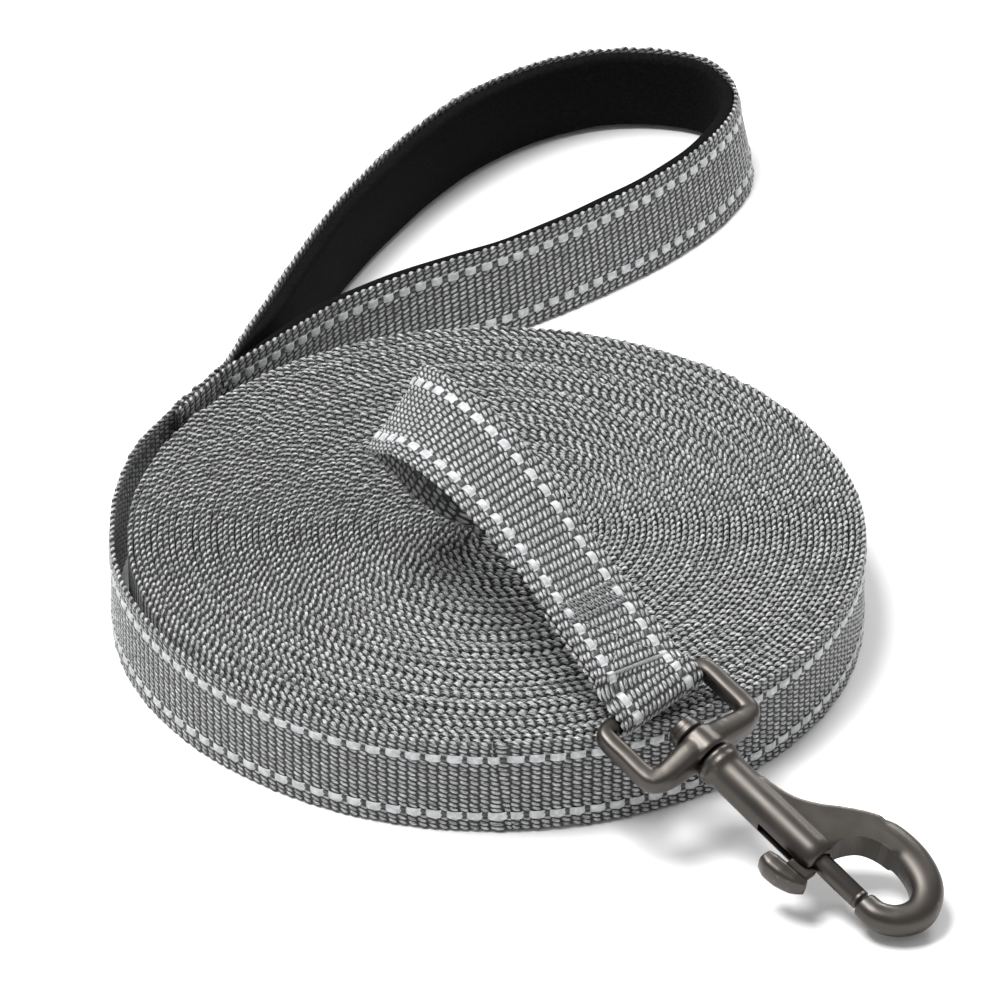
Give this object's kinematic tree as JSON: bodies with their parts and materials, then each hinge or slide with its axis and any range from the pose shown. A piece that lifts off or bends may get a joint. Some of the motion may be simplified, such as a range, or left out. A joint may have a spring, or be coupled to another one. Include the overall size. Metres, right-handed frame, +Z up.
{
  "type": "long training leash",
  "caption": "Long flat-webbing leash wound into a flat roll, with a lined hand loop at one end and a swivel bolt snap at the other.",
  "frame": {"origin": "centre of the webbing roll on the surface it lies on", "axes": "+Z up out of the roll; the hand loop points to +Y and the snap lies towards -Y and +X"},
  "size_m": [0.1597, 0.297, 0.0605],
  "materials": {
    "webbing": "woven grey nylon with two light reflective yarns",
    "lining": "black neoprene with a knitted face",
    "thread": "sewn bars",
    "cast_metal": "satin dark grey plated zinc casting",
    "spring_steel": "plain spring wire"
  },
  "bodies": {
    "leash": {"webbing_roll": "webbing", "webbing_outer_turn": "webbing", "handle_end_tab": "webbing", "handle_bar_tack_front": "thread", "handle_bar_tack_rear": "thread", "lead_riser": "webbing", "lead_webbing": "webbing", "lead_end_tab": "webbing", "lead_box_stitch": "thread", "lead_bar_tack": "thread"},
    "hand_loop": {"handle_webbing": "webbing", "handle_pad": "lining"},
    "eye": {"swivel_eye": "cast_metal"},
    "hook": {"snap_body": "cast_metal", "swivel_stud": "cast_metal", "spring_seat": "spring_steel", "bolt_spring": "spring_steel"},
    "bolt": {"snap_bolt": "cast_metal", "thumb_lever": "cast_metal"}
  },
  "joints": [
    {"name": "handle_swing", "type": "hinge", "parent": "leash", "child": "hand_loop", "pos_m": [-0.0547, 0.058, 0.0103], "axis": [0, 0, 1], "range_deg": [-5, 32]},
    {"name": "eye_tilt", "type": "hinge", "parent": "leash", "child": "eye", "pos_m": [0.0296, -0.0639, 0.0245], "axis": [-0.7377, -0.6567, -0.1566], "range_deg": [0, 60]},
    {"name": "snap_swivel", "type": "hinge", "parent": "eye", "child": "hook", "pos_m": [0.03894, -0.07334, 0.02008], "axis": [0.6674, -0.6745, -0.3156], "continuous": true},
    {"name": "bolt_slide", "type": "slide", "parent": "hook", "child": "bolt", "axis": [-0.6674, 0.6745, 0.3156], "range_m": [0, 0.009], "stiffness_N_per_m": 300, "springref_m": -0.012, "deforming": ["bolt_spring"]}
  ]
}
